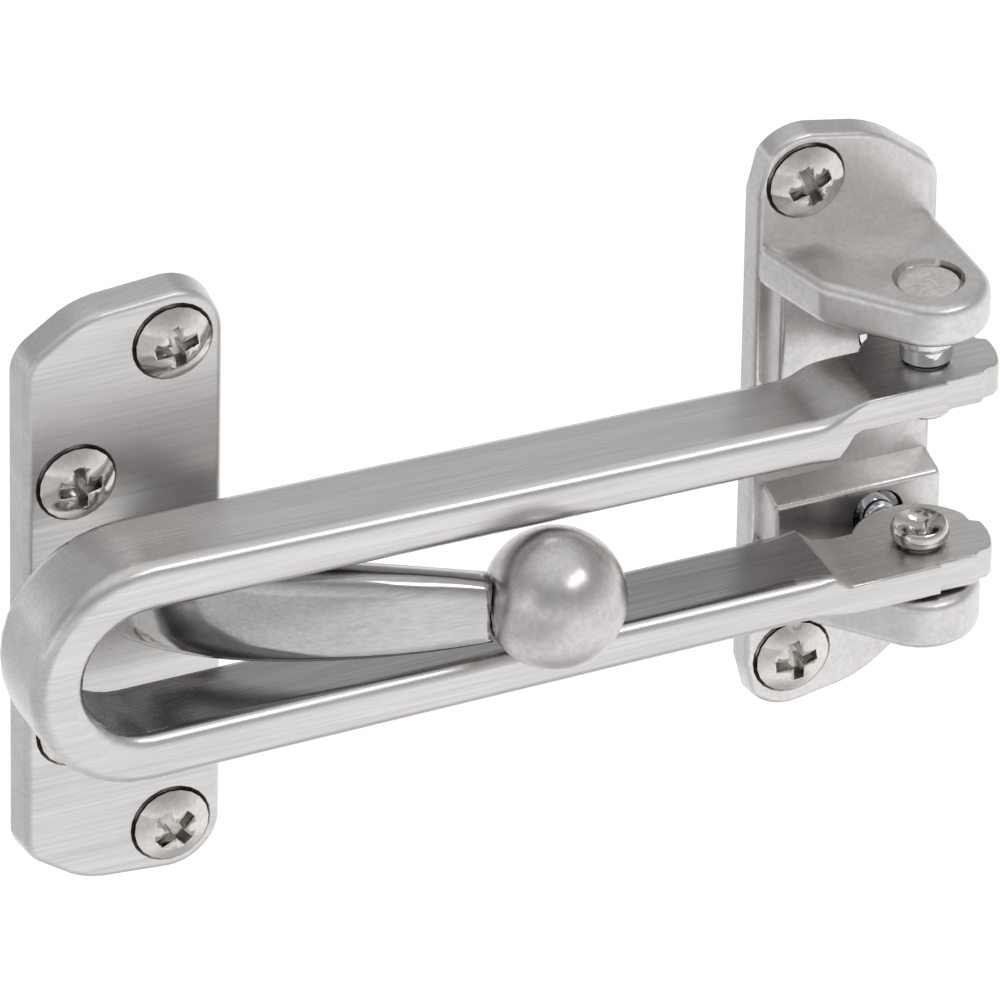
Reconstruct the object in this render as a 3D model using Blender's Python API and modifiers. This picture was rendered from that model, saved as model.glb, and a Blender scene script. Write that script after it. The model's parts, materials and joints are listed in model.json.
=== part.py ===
"""Swing-bar door guard: a hinged loop on a jamb bracket, and a door plate whose ball-ended arm rides in the loop.

Frame: metres, +Z up, X along the bar from the door plate to the jamb bracket, -Y out of the wall.
The origin is on the jamb bracket's flat back, level with the middle of the bar.
"""

import math

import bmesh
import bpy
from mathutils import Matrix, Vector

MM = 0.001

# ---- driving dimensions, in millimetres -------------------------------------------------
# fits
SEAT_GAP = 0.3  # between solids that rest on each other
RUNNING_GAP = 0.1  # radial, between a pin and what turns on it

# hinge stack: everything here is measured from the middle of the bar
PIN_X = 3.0
PIN_Y = -15.0
PIN_RADIUS = 2.2
PIN_HEAD_RADIUS = 3.5
PIN_HEAD_HEIGHT = 1.3
PIN_ROLL_RADIUS = 3.1
PIN_ROLL_HEIGHT = 1.9
PIN_ROLL_BORE_RADIUS = 2.05
PIN_ROLL_BORE_DEPTH = 3.4
LUG_THICKNESS = 3.7
UPPER_LUG_LOW = 10.2
LOWER_LUG_HIGH = -8.3
COLLAR_HEIGHTS = (1.9, 1.9)  # narrow ring on the lug, wide ring under the ear
COLLAR_WALLS = (0.45, 0.95)  # around the pin and its gap
COLLAR_EDGE = 0.2
EAR_THICKNESS = 4.9
LOWER_EAR_THICKNESS = 5.7
EAR_TIP_RADIUS = 6.2
EAR_EDGE = 1.2
EAR_INSET = 0.45  # from the plate's left side
RECESS_DEPTH = 2.1
RECESS_SIDE_GAP = 0.3
PIN_HEAD_SEAT = 0.3

# jamb bracket
BRACKET_LEFT = -10.8
BRACKET_WIDTH = 20.9
BRACKET_THICKNESS = 2.6
BRACKET_LIFT = 1.1  # its middle above the middle of the bar
BRACKET_SCREW_X = -5.3
BRACKET_SCREW_Z = 29.0
BRACKET_LOBE_RADIUS = 5.6
BRACKET_CORNER_RADIUS = 3.6
BRACKET_CORNER_DROP = 3.4  # corner centre below the screw
BRACKET_CROWN_RADIUS = 11.8
BRACKET_FOOT = 0.7  # how much further the plate reaches below than above
BRACKET_EDGE = 0.6
BRACKET_DRAFT = 0.25
BLOCK_FRONT = 6.3  # how far the raised blocks stand out from the wall
BLOCK_LEFT_INSET = 1.3
BLOCK_RIGHT_INSET = 0.5
BLOCK_SLOPE = 1.3
UPPER_BLOCK_LOW = 5.2
LOWER_BLOCK_HIGH = -5.2
BLOCK_EDGE = 0.6

# detent plungers
PLUNGER_X = 2.4
PLUNGER_RADIUS = 1.85
PLUNGER_FLANGE_RADIUS = 2.55
PLUNGER_FLANGE_LENGTH = 0.8
PLUNGER_BORE_RADIUS = 2.9
PLUNGER_BORE_FLOOR = 1.2  # metal left behind the bore
PLUNGER_TO_EYE = 0.5
PLUNGER_FLANGE_DEPTH = 0.5  # flange front behind the block's face
PLUNGER_NOSE_ROUND = 0.9
SPRING_WIRE_RADIUS = 0.2
SPRING_COIL_RADIUS = 1.9
SPRING_TURNS = 4

# swing bar
BAR_DEPTH = 10.8
BAR_END_X = -84.8  # centre of the closed end
BAR_END_RADIUS = 13.1
BAR_HINGE_HALF_HEIGHT = 12.0
BAR_SLOT_END_RADIUS = 7.4
BAR_SLOT_HINGE_HALF_HEIGHT = 6.95
BAR_EDGE = 1.7
NECK_FROM_X = -13.0  # where the arms start to change into the lugs' necks
NECK_X = -5.0  # where that change ends
UPPER_SLOT_STEP = (-9.3, -6.7)  # where each slot side steps over to its lug
LOWER_SLOT_STEP = (-9.0, -7.4)
LUG_EYE_RADIUS = 7.1
LUG_LOBE_RADIUS = 7.5
LUG_NOTCH_RADIUS = 6.7
LUG_VALLEY_RADIUS = 6.4
LUG_BACK_INSET = 1.5
LUG_FRONT_STEP = 0.5
LUG_EDGE = 0.3

# door plate
DOOR_X = -81.2
DOOR_DROP = 1.1  # its middle below the middle of the bar
DOOR_WIDTH = 22.2
DOOR_THICKNESS = 3.6
DOOR_END_SCREW_X = 5.2
DOOR_END_SCREW_Z = 29.2
DOOR_MID_SCREW_X = -5.3
DOOR_MID_SCREW_Z = 14.9
DOOR_LOBE_RADIUS = 5.9
DOOR_CORNER_RADIUS = 4.4
DOOR_CORNER_DROP = 1.8
DOOR_CROWN_RADIUS = 9.8
DOOR_EDGE = 0.8
DOOR_DRAFT = 0.35

# arm and ball
BALL_RADIUS = 7.45
BALL_X = -41.6
BALL_Y = -22.3
ARM_SINK = 1.6  # how deep the arm's root is let into the plate
ARM_ROOT_HALF_THICKNESS = 3.6
ARM_TIP_HALF_THICKNESS = 2.3
ARM_TOP = (6.7, 2.9)  # at the plate and at the ball
ARM_BOTTOM = (-6.8, -4.1)
ARM_ROOT_X = 1.4  # from the middle of the door plate
ARM_TIP = (-4.7, 1.25)  # the end's middle from the ball's, along X and Y
ARM_RISE = (2.2, -10.5)  # the curve's handles in plan
ARM_RUN = (-16.7, 0.7)
TENON_RADIUS = 1.8
TENON_LENGTH = 4.0

# screws: oval heads in countersunk holes
SCREW_HEAD_RADIUS = 4.1
SCREW_HEAD_PROUD = 0.35
SCREW_DOME = 1.35
SCREW_SINK_DEPTH = 1.9
SCREW_SHANK_RADIUS = 1.9
SCREW_THREAD_DEPTH = 0.35
SCREW_THREAD_PITCH = 1.5
SCREW_REACH = 6.5  # beyond the back of the plate
SCREW_HOLE_RADIUS = 2.3
SINK_SIDE_GAP = 0.35
RECESS_ARM_WIDTH = 1.15
RECESS_ARM_REACH = 2.3
RECESS_BITE = 1.5
SLOT_WIDTH = 0.45
SLOT_BITE = 0.45

# facets
SMALL_ROUND = 24
SCREW_SIDES = 20
ARC_STEPS = 12
END_STEPS = 18
EDGE_STEPS = 3
SHORTEST_EDGE = 0.1

# ---- values that follow ------------------------------------------------------------------
PIN_SEAT_RADIUS = PIN_RADIUS + RUNNING_GAP
BAR_FRONT = PIN_Y - BAR_DEPTH / 2
BAR_BACK = PIN_Y + BAR_DEPTH / 2
UPPER_LUG_HIGH = UPPER_LUG_LOW + LUG_THICKNESS
LOWER_LUG_LOW = LOWER_LUG_HIGH - LUG_THICKNESS
UPPER_EAR_LOW = UPPER_LUG_HIGH + sum(COLLAR_HEIGHTS) + 3 * SEAT_GAP
UPPER_EAR_HIGH = UPPER_EAR_LOW + EAR_THICKNESS
LOWER_EAR_HIGH = LOWER_LUG_LOW - SEAT_GAP
LOWER_EAR_LOW = LOWER_EAR_HIGH - LOWER_EAR_THICKNESS
UPPER_LUG_MIDDLE = (UPPER_LUG_LOW + UPPER_LUG_HIGH) / 2
LOWER_LUG_MIDDLE = (LOWER_LUG_LOW + LOWER_LUG_HIGH) / 2
EYE_BACK = PIN_Y + LUG_EYE_RADIUS
FACET_SLACK = 1 / math.cos(math.pi / SMALL_ROUND)


# ---- tools -------------------------------------------------------------------------------
def clear_scene():
    for obj in list(bpy.data.objects):
        bpy.data.objects.remove(obj, do_unlink=True)


def collection(name, hidden=False):
    made = bpy.data.collections.new(name)
    bpy.context.scene.collection.children.link(made)
    made.hide_render = hidden
    return made


def material(name, color, roughness):
    made = bpy.data.materials.new(name)
    made.use_nodes = True
    shader = made.node_tree.nodes["Principled BSDF"]
    shader.inputs["Base Color"].default_value = (*color, 1.0)
    shader.inputs["Roughness"].default_value = roughness
    shader.inputs["Metallic"].default_value = 1.0
    return made


def file_in(obj, home):
    for old in list(obj.users_collection):
        old.objects.unlink(obj)
    home.objects.link(obj)


def settle(obj):
    """Puts the object's place, turn and size into its mesh."""
    obj.data.transform(obj.matrix_world)
    obj.matrix_world = Matrix.Identity(4)
    return obj


def cylinder(name, radius, low, high, centre, axis="Z", sides=SMALL_ROUND):
    """A cylinder between two distances along the axis; centre gives the other two coordinates."""
    bpy.ops.mesh.primitive_cylinder_add(vertices=sides, radius=radius * MM, depth=(high - low) * MM)
    obj = bpy.context.object
    obj.name = name
    middle = (low + high) / 2
    if axis == "Z":
        place = Matrix.Translation(Vector((centre[0], centre[1], middle)) * MM)
    elif axis == "Y":
        turn = Matrix.Rotation(math.radians(-90), 4, "X")
        place = Matrix.Translation(Vector((centre[0], middle, centre[1])) * MM) @ turn
    else:
        turn = Matrix.Rotation(math.radians(90), 4, "Y")
        place = Matrix.Translation(Vector((middle, centre[0], centre[1])) * MM) @ turn
    obj.matrix_world = place
    return settle(obj)


def box(name, low, high):
    bpy.ops.mesh.primitive_cube_add(size=1.0)
    obj = bpy.context.object
    obj.name = name
    size = [(b - a) * MM for a, b in zip(low, high)]
    middle = [(a + b) / 2 * MM for a, b in zip(low, high)]
    obj.matrix_world = Matrix.Translation(middle) @ Matrix.Diagonal((*size, 1.0))
    return settle(obj)


def around_discs(discs, steps=ARC_STEPS):
    """The outline of a band pulled round discs (x, y, radius), counterclockwise."""
    outline = []
    count = 4 * steps
    for i in range(count):
        angle = 2 * math.pi * i / count
        way = (math.cos(angle), math.sin(angle))
        far = max(discs, key=lambda d: d[0] * way[0] + d[1] * way[1] + d[2])
        outline.append((far[0] + far[2] * way[0], far[1] + far[2] * way[1]))
    return without_repeats(outline)


def without_repeats(points):
    """The outline without points that nearly coincide."""
    return [point for i, point in enumerate(points) if math.dist(point, points[i - 1]) > SHORTEST_EDGE]


def flat_outline(name, outline, thickness):
    """A plate with this outline in XY, its middle at z = 0, as a mesh."""
    curve = bpy.data.curves.new(name, "CURVE")
    curve.dimensions = "2D"
    curve.fill_mode = "BOTH"
    curve.extrude = thickness / 2 * MM
    spline = curve.splines.new("POLY")
    spline.points.add(len(outline) - 1)
    for point, place in zip(spline.points, outline):
        point.co = (place[0] * MM, place[1] * MM, 0.0, 1.0)
    spline.use_cyclic_u = True
    source = bpy.data.objects.new(name, curve)
    bpy.context.scene.collection.objects.link(source)
    obj = as_mesh(source)
    flatten(obj)
    return obj


def flatten(obj):
    """Makes each flat area of the mesh one face."""
    mesh = bmesh.new()
    mesh.from_mesh(obj.data)
    flat = math.radians(0.5)
    bmesh.ops.dissolve_limit(mesh, angle_limit=flat, verts=mesh.verts, edges=mesh.edges)
    mesh.to_mesh(obj.data)
    mesh.free()


def as_mesh(source):
    """A curve object made a closed mesh object of the same name and place."""
    name = source.name
    graph = bpy.context.evaluated_depsgraph_get()
    mesh = bpy.data.meshes.new_from_object(source.evaluated_get(graph))
    place = source.matrix_world.copy()
    bpy.data.objects.remove(source, do_unlink=True)
    obj = bpy.data.objects.new(name, mesh)
    bpy.context.scene.collection.objects.link(obj)
    obj.matrix_world = place
    weld(obj)
    return obj


def weld(obj):
    mesh = bmesh.new()
    mesh.from_mesh(obj.data)
    bmesh.ops.remove_doubles(mesh, verts=mesh.verts, dist=1e-6)
    bmesh.ops.recalc_face_normals(mesh, faces=mesh.faces)
    mesh.to_mesh(obj.data)
    mesh.free()


def facing(obj, axis, middle):
    """Stands a flat XY plate so that its thickness lies along the axis, centred there."""
    if axis == "Z":
        obj.matrix_world = Matrix.Translation((0, 0, middle * MM))
    else:
        # outline (x, z) drawn in XY: its Y becomes Z, its thickness lies along Y
        obj.matrix_world = Matrix.Translation((0, middle * MM, 0)) @ Matrix.Rotation(math.radians(90), 4, "X")
    return settle(obj)


def bevel(obj, width, segments=3, angle=40):
    made = obj.modifiers.new("Bevel", "BEVEL")
    made.width = width * MM
    made.segments = segments
    made.limit_method = "ANGLE"
    made.angle_limit = math.radians(angle)
    made.use_clamp_overlap = True
    return obj


def apply_all(obj):
    """Makes the object's mesh what its modifiers give."""
    graph = bpy.context.evaluated_depsgraph_get()
    mesh = bpy.data.meshes.new_from_object(obj.evaluated_get(graph))
    obj.modifiers.clear()
    obj.data = mesh
    weld(obj)
    return obj


def boolean(obj, other, operation):
    """Joins or cuts with a helper, which goes into the cutters' collection."""
    made = obj.modifiers.new(operation.title(), "BOOLEAN")
    made.operation = operation
    made.object = other
    made.solver = "EXACT"
    other.display_type = "WIRE"
    other.hide_render = True
    file_in(other, CUTTERS)
    return obj


def finish(obj, name, finish_material, body):
    obj.name = name
    own_material = finish_material.copy()
    own_material.name = name + "_finish"
    obj.data.materials.clear()
    obj.data.materials.append(own_material)
    obj.data.shade_smooth()
    obj.data.set_sharp_from_angle(angle=math.radians(35))
    file_in(obj, PARTS)
    obj.parent = body
    obj.matrix_parent_inverse = body.matrix_world.inverted()
    return obj


def pivot(name, place):
    made = bpy.data.objects.new(name, None)
    made.empty_display_size = 0.01
    made.location = Vector(place) * MM
    PARTS.objects.link(made)
    bpy.context.view_layer.update()
    return made


def turned(name, profile, sides=SMALL_ROUND):
    """A solid of revolution about Z; the profile (radius, z) runs down its outer side, from axis to axis."""
    mesh = bpy.data.meshes.new(name)
    points = [(radius * MM, 0.0, z * MM) for radius, z in profile]
    mesh.from_pydata(points, [(i, i + 1) for i in range(len(points) - 1)], [])
    obj = bpy.data.objects.new(name, mesh)
    bpy.context.scene.collection.objects.link(obj)
    screw = obj.modifiers.new("Screw", "SCREW")
    screw.steps = sides
    screw.render_steps = sides
    screw.use_merge_vertices = True
    screw.merge_threshold = 1e-6
    screw.use_smooth_shade = True
    apply_all(obj)
    return obj


# ---- screws ------------------------------------------------------------------------------
def screw_profile(thickness):
    """(radius, distance): distance 0 is the plate's front face and grows into the wall."""
    crown = -SCREW_HEAD_PROUD - SCREW_DOME
    dome_radius = (SCREW_HEAD_RADIUS**2 + SCREW_DOME**2) / (2 * SCREW_DOME)
    spread = math.asin(SCREW_HEAD_RADIUS / dome_radius)
    profile = []
    for i in range(6):
        angle = spread * i / 5
        profile.append((dome_radius * math.sin(angle), crown + dome_radius * (1 - math.cos(angle))))
    profile.append((SCREW_HEAD_RADIUS, 0.0))
    profile.append((SCREW_SHANK_RADIUS, SCREW_SINK_DEPTH))
    tip = thickness + SCREW_REACH
    depth = thickness
    root = SCREW_SHANK_RADIUS - SCREW_THREAD_DEPTH
    while depth + SCREW_THREAD_PITCH < tip - SCREW_SHANK_RADIUS:
        profile.append((root, depth))
        profile.append((SCREW_SHANK_RADIUS, depth + SCREW_THREAD_PITCH / 2))
        depth += SCREW_THREAD_PITCH
    profile.append((root, depth))
    profile.append((0.0, tip))
    return profile


def screw_recess(name):
    """The cross recess and the shallow slot, for a head whose axis is Z and whose crown is at the top."""
    crown = SCREW_HEAD_PROUD + SCREW_DOME
    arms = []
    for size in (
        (2 * RECESS_ARM_REACH, RECESS_ARM_WIDTH),
        (RECESS_ARM_WIDTH, 2 * RECESS_ARM_REACH),
    ):
        arms.append(
            box(
                f"{name}_recess",
                (-size[0] / 2, -size[1] / 2, crown - RECESS_BITE),
                (size[0] / 2, size[1] / 2, crown + 1),
            )
        )
    arms.append(
        box(
            f"{name}_slot",
            (-SCREW_HEAD_RADIUS - 1, -SLOT_WIDTH / 2, SCREW_HEAD_PROUD + SCREW_DOME - SLOT_BITE),
            (SCREW_HEAD_RADIUS + 1, SLOT_WIDTH / 2, crown + 1),
        )
    )
    return arms


def screw(name, place, thickness, turn, body):
    """An oval-head screw whose head sits in a plate of this thickness; turn is the recess's angle in degrees."""
    profile = [(radius, -distance) for radius, distance in screw_profile(thickness)]
    obj = turned(name, profile, SCREW_SIDES)
    pose = (
        Matrix.Translation(Vector((place[0], -thickness, place[1])) * MM)
        @ Matrix.Rotation(math.radians(90), 4, "X")
        @ Matrix.Rotation(math.radians(turn), 4, "Z")
    )
    for tool in screw_recess(name):
        boolean(obj, tool, "DIFFERENCE")
    apply_all(obj)
    obj.matrix_world = pose
    return finish(settle(obj), name, POLISHED, body)


def cut_screw_hole(plate, place, thickness):
    """A countersunk hole through a plate whose back is at y = 0."""
    slope = (SCREW_HEAD_RADIUS - SCREW_SHANK_RADIUS) / SCREW_SINK_DEPTH
    over = 1.0
    land = 0.05  # keeps the cone's rim off the front face
    mouth = SCREW_HEAD_RADIUS + SINK_SIDE_GAP
    depth = land + (mouth - SCREW_HOLE_RADIUS) / slope
    profile = [
        (0.0, over),
        (mouth, over),
        (mouth, -land),
        (SCREW_HOLE_RADIUS, -depth),
        (SCREW_HOLE_RADIUS, -thickness - over),
        (0.0, -thickness - over),
    ]
    tool = turned("sink", profile)
    pose = Matrix.Translation(Vector((place[0], -thickness, place[1])) * MM)
    tool.matrix_world = pose @ Matrix.Rotation(math.radians(90), 4, "X")
    boolean(plate, settle(tool), "DIFFERENCE")


# ---- jamb bracket ------------------------------------------------------------------------
def mirrored_ends(discs, foot=0.0):
    """The discs of a plate's upper end and their mirror images below, which reach further by foot."""
    return discs + [(x, -z - foot, radius) for x, z, radius in discs]


def bracket_outline():
    right = BRACKET_LEFT + BRACKET_WIDTH - BRACKET_CORNER_RADIUS
    discs = [
        (BRACKET_SCREW_X, BRACKET_SCREW_Z, BRACKET_LOBE_RADIUS),
        (right, BRACKET_SCREW_Z - BRACKET_CORNER_DROP, BRACKET_CORNER_RADIUS),
        (
            (BRACKET_SCREW_X + right) / 2 - 2.8,
            BRACKET_SCREW_Z + BRACKET_LOBE_RADIUS - BRACKET_CROWN_RADIUS - 0.7,
            BRACKET_CROWN_RADIUS,
        ),
    ]
    outline = around_discs(mirrored_ends(discs, BRACKET_FOOT))
    clipped = [(max(x, BRACKET_LEFT), z + BRACKET_LIFT) for x, z in outline]
    return without_repeats(clipped)


def ear_outline():
    corner = 1.5
    root = -corner - 0.4
    left = BRACKET_LEFT + corner + EAR_INSET
    discs = [
        (PIN_X + 0.1, PIN_Y - 0.3, EAR_TIP_RADIUS),
        (left + 6.1, PIN_Y + 5.8, 5.8),
        (left, root - 1.4, corner),
        (left, root, corner),
        (PIN_X + EAR_TIP_RADIUS - corner - 0.1, root, corner),
    ]
    return around_discs(discs)


def ear(low, high):
    plate = flat_outline("ear", ear_outline(), high - low)
    facing(plate, "Z", (low + high) / 2)
    return apply_all(bevel(plate, EAR_EDGE))


def block(slope_end, buried_end):
    """A raised block whose face slopes back to the plate at slope_end; buried_end is inside the ear."""
    left = BRACKET_LEFT + BLOCK_LEFT_INSET
    right = BRACKET_LEFT + BRACKET_WIDTH - BLOCK_RIGHT_INSET
    low, high = sorted((slope_end, buried_end))
    made = box("block", (left, -BLOCK_FRONT, low), (right, -0.8, high))
    away = 1 if slope_end > buried_end else -1
    for vertex in made.data.vertices:
        at_slope = abs(vertex.co.z - slope_end * MM) < 1e-6
        if at_slope and vertex.co.y < -BLOCK_FRONT * MM / 2:
            vertex.co.z -= away * BLOCK_SLOPE * MM
    return apply_all(bevel(made, BLOCK_EDGE, 2))


def jamb_bracket(body):
    plate = flat_outline("plate", bracket_outline(), BRACKET_THICKNESS)
    facing(plate, "Y", -BRACKET_THICKNESS / 2)
    draft_front(plate, BRACKET_THICKNESS, BRACKET_DRAFT)
    bevel_front(plate, BRACKET_THICKNESS, BRACKET_EDGE)
    buried = 1.0
    solids = [
        ear(UPPER_EAR_LOW, UPPER_EAR_HIGH),
        ear(LOWER_EAR_LOW, LOWER_EAR_HIGH),
        block(UPPER_BLOCK_LOW, UPPER_EAR_LOW + buried),
        block(LOWER_BLOCK_HIGH, LOWER_EAR_HIGH - buried),
    ]
    for solid in solids:
        boolean(plate, solid, "UNION")
    for z in (BRACKET_SCREW_Z, -BRACKET_SCREW_Z):
        cut_screw_hole(plate, (BRACKET_SCREW_X, z + BRACKET_LIFT), BRACKET_THICKNESS)
    cut_hinge_holes(plate)
    return finish(plate, "jamb_bracket", SATIN, body)


def cut_hinge_holes(plate):
    pin = (PIN_X, PIN_Y)
    bore = PIN_RADIUS * FACET_SLACK + RUNNING_GAP
    recess = PIN_HEAD_RADIUS + RECESS_SIDE_GAP
    over = 1.0
    for low, high in ((UPPER_EAR_LOW, UPPER_EAR_HIGH), (LOWER_EAR_LOW, LOWER_EAR_HIGH)):
        boolean(plate, cylinder("pin_bore", bore, low - over, high + over, pin), "DIFFERENCE")
    top = cylinder("recess", recess, UPPER_EAR_HIGH - RECESS_DEPTH, UPPER_EAR_HIGH + over, pin)
    bottom = cylinder("recess", recess, LOWER_EAR_LOW - over, LOWER_EAR_LOW + RECESS_DEPTH, pin)
    boolean(plate, top, "DIFFERENCE")
    boolean(plate, bottom, "DIFFERENCE")
    for z in (UPPER_LUG_MIDDLE, LOWER_LUG_MIDDLE):
        drill = cylinder(
            "plunger_bore",
            PLUNGER_BORE_RADIUS,
            -BLOCK_FRONT - over,
            -PLUNGER_BORE_FLOOR,
            (PLUNGER_X, z),
            "Y",
        )
        boolean(plate, drill, "DIFFERENCE")


def draft_front(plate, thickness, draft):
    """Draws the front face's outline in, so the sides slope."""
    mesh = bmesh.new()
    mesh.from_mesh(plate.data)
    mesh.normal_update()
    front = [v for v in mesh.verts if abs(v.co.y + thickness * MM) < 1e-6]
    moves = [Vector((v.normal.x, 0.0, v.normal.z)).normalized() * -draft * MM for v in front]
    for vertex, move in zip(front, moves):
        vertex.co += move
    mesh.to_mesh(plate.data)
    mesh.free()


def bevel_front(plate, thickness, width, segments=3):
    """Rounds only the edge round the front face of a plate that stands on y = 0."""
    weights = plate.data.attributes.new("bevel_weight_edge", "FLOAT", "EDGE")
    front = -thickness * MM
    for edge in plate.data.edges:
        ends = [plate.data.vertices[i].co.y for i in edge.vertices]
        weights.data[edge.index].value = float(all(abs(y - front) < 1e-6 for y in ends))
    made = plate.modifiers.new("Bevel", "BEVEL")
    made.width = width * MM
    made.segments = segments
    made.limit_method = "WEIGHT"
    apply_all(plate)


# ---- hinge pins, collars and plungers ----------------------------------------------------
def hinge_pin(name, head_end, roll_end, body):
    """A rivet: its head sits in the ear's recess, and its far end is rolled over the lug."""
    way = 1 if head_end > roll_end else -1
    head_seat = head_end - way * (RECESS_DEPTH - PIN_HEAD_SEAT)
    roll_top = roll_end - way * SEAT_GAP
    length = abs(head_seat - roll_top)
    round_off = 0.3
    profile = [
        (0.0, PIN_HEAD_HEIGHT),
        (PIN_HEAD_RADIUS - round_off, PIN_HEAD_HEIGHT),
        (PIN_HEAD_RADIUS, PIN_HEAD_HEIGHT - round_off),
        (PIN_HEAD_RADIUS, 0.0),
        (PIN_RADIUS, 0.0),
        (PIN_RADIUS, -length),
    ]
    bulge = PIN_ROLL_HEIGHT / 2
    middle = -length - bulge
    spread = (PIN_ROLL_RADIUS - PIN_ROLL_BORE_RADIUS) / 2
    for i in range(7):
        angle = math.radians(75 - 25 * i)
        radius = PIN_ROLL_BORE_RADIUS + spread + spread * math.cos(angle)
        profile.append((radius, middle + bulge * math.sin(angle)))
    floor = -length - PIN_ROLL_HEIGHT + PIN_ROLL_BORE_DEPTH
    bore = PIN_RADIUS * 0.55
    profile.append((bore, -length - PIN_ROLL_HEIGHT * 0.6))
    profile.append((bore * 0.8, floor))
    profile.append((0.0, floor))
    obj = turned(name, profile)
    turn = Matrix.Identity(4) if way > 0 else Matrix.Rotation(math.pi, 4, "X")
    obj.matrix_world = Matrix.Translation(Vector((PIN_X, PIN_Y, head_seat)) * MM) @ turn
    return finish(settle(obj), name, CHROME, body)


def collar(name, radius, low, height, body):
    """One chrome spacer ring between the lug and the ear."""
    bore = PIN_RADIUS * FACET_SLACK + RUNNING_GAP
    edge = COLLAR_EDGE
    profile = [
        (bore, height),
        (radius - edge, height),
        (radius, height - edge),
        (radius, edge),
        (radius - edge, 0.0),
        (bore, 0.0),
        (bore, height),
    ]
    obj = turned(name, profile)
    obj.matrix_world = Matrix.Translation(Vector((PIN_X, PIN_Y, low)) * MM)
    return finish(settle(obj), name, CHROME, body)


def plunger(name, z, body):
    """A flanged pin with a rounded nose that stands against the lug's round eye."""
    nose = EYE_BACK + PLUNGER_TO_EYE
    flange_front = -BLOCK_FRONT + PLUNGER_FLANGE_DEPTH
    flange_back = flange_front + PLUNGER_FLANGE_LENGTH
    profile = []
    for i in range(5):
        angle = math.radians(90 * i / 4)
        radius = PLUNGER_RADIUS - PLUNGER_NOSE_ROUND + PLUNGER_NOSE_ROUND * math.sin(angle)
        profile.append((radius, -nose - PLUNGER_NOSE_ROUND * (1 - math.cos(angle))))
    profile.insert(0, (0.0, -nose))
    profile += [
        (PLUNGER_RADIUS, -flange_front),
        (PLUNGER_FLANGE_RADIUS, -flange_front),
        (PLUNGER_FLANGE_RADIUS, -flange_back),
        (0.0, -flange_back),
    ]
    obj = turned(name, profile)
    place = Matrix.Translation(Vector((PLUNGER_X, 0, z)) * MM)
    obj.matrix_world = place @ Matrix.Rotation(math.radians(90), 4, "X")
    return finish(settle(obj), name, CHROME, body)


def plunger_spring(name, z, body):
    """A short coil between the plunger's flange and the floor of its bore."""
    flange_back = -BLOCK_FRONT + PLUNGER_FLANGE_DEPTH + PLUNGER_FLANGE_LENGTH
    start = flange_back + SEAT_GAP + SPRING_WIRE_RADIUS
    end = -PLUNGER_BORE_FLOOR - SEAT_GAP - SPRING_WIRE_RADIUS
    per_turn = 12
    count = SPRING_TURNS * per_turn
    curve = bpy.data.curves.new(name, "CURVE")
    curve.dimensions = "3D"
    curve.bevel_depth = SPRING_WIRE_RADIUS * MM
    curve.bevel_resolution = 2
    curve.use_fill_caps = True
    spline = curve.splines.new("POLY")
    spline.points.add(count)
    for i, point in enumerate(spline.points):
        angle = 2 * math.pi * i / per_turn
        x = PLUNGER_X + SPRING_COIL_RADIUS * math.cos(angle)
        y = start + (end - start) * i / count
        point.co = (x * MM, y * MM, (z + SPRING_COIL_RADIUS * math.sin(angle)) * MM, 1.0)
    source = bpy.data.objects.new(name, curve)
    bpy.context.scene.collection.objects.link(source)
    return finish(as_mesh(source), name, SPRING_STEEL, body)


# ---- swing bar ---------------------------------------------------------------------------
def smooth_step(t):
    t = min(1.0, max(0.0, t))
    return t * t * (3 - 2 * t)


def between(x, start, end, first, last):
    """A value that changes smoothly from first to last as x goes from start to end."""
    return first + (last - first) * smooth_step((x - start) / (end - start))


def arm_heights(x, side):
    """(inner, outer) distances of an arm from the middle of the bar at x; side is 1 above and -1 below."""
    along = (x - BAR_END_X) / (NECK_X - BAR_END_X)
    inner = BAR_SLOT_END_RADIUS + (BAR_SLOT_HINGE_HALF_HEIGHT - BAR_SLOT_END_RADIUS) * along
    outer = BAR_END_RADIUS + (BAR_HINGE_HALF_HEIGHT - BAR_END_RADIUS) * along
    trim = 0.05  # keeps the necks' faces off the eyes' faces where they are joined
    if side > 0:
        step, neck = UPPER_SLOT_STEP, (UPPER_LUG_LOW + trim, UPPER_LUG_HIGH - trim)
    else:
        step, neck = LOWER_SLOT_STEP, (-LOWER_LUG_HIGH + trim, -LOWER_LUG_LOW - trim)
    inner = between(x, *step, inner, neck[0])
    outer = between(x, NECK_FROM_X + 2.0, NECK_X, outer, neck[1])
    return inner, outer


def arm_section_at(x, side):
    """(inner point, outer point, back, edge radius) of an arm's upright section."""
    inner, outer = arm_heights(x, side)
    back = between(x, NECK_FROM_X + 4.0, NECK_X, BAR_BACK, BAR_BACK - LUG_BACK_INSET)
    edge = between(x, NECK_FROM_X, NECK_X, BAR_EDGE, LUG_EDGE)
    return (x, side * inner), (x, side * outer), back, edge


def end_section_at(angle):
    """The same for the closed end, at an angle in radians from +X."""
    way = (math.cos(angle), math.sin(angle))
    inner = (BAR_END_X + BAR_SLOT_END_RADIUS * way[0], BAR_SLOT_END_RADIUS * way[1])
    outer = (BAR_END_X + BAR_END_RADIUS * way[0], BAR_END_RADIUS * way[1])
    return inner, outer, BAR_BACK, BAR_EDGE


def loop_sections():
    """Every section, from the upper arm's end round the closed end to the lower arm's."""
    steps = 10
    stations = [PIN_X, PIN_X - 4.0]
    stations += [NECK_X + (NECK_FROM_X - NECK_X) * i / steps for i in range(steps + 1)]
    stations.append(BAR_END_X + 1.0)
    sections = [arm_section_at(x, 1) for x in stations]
    for i in range(END_STEPS + 1):
        sections.append(end_section_at(math.pi / 2 + math.pi * i / END_STEPS))
    sections += [arm_section_at(x, -1) for x in reversed(stations)]
    return sections


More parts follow.
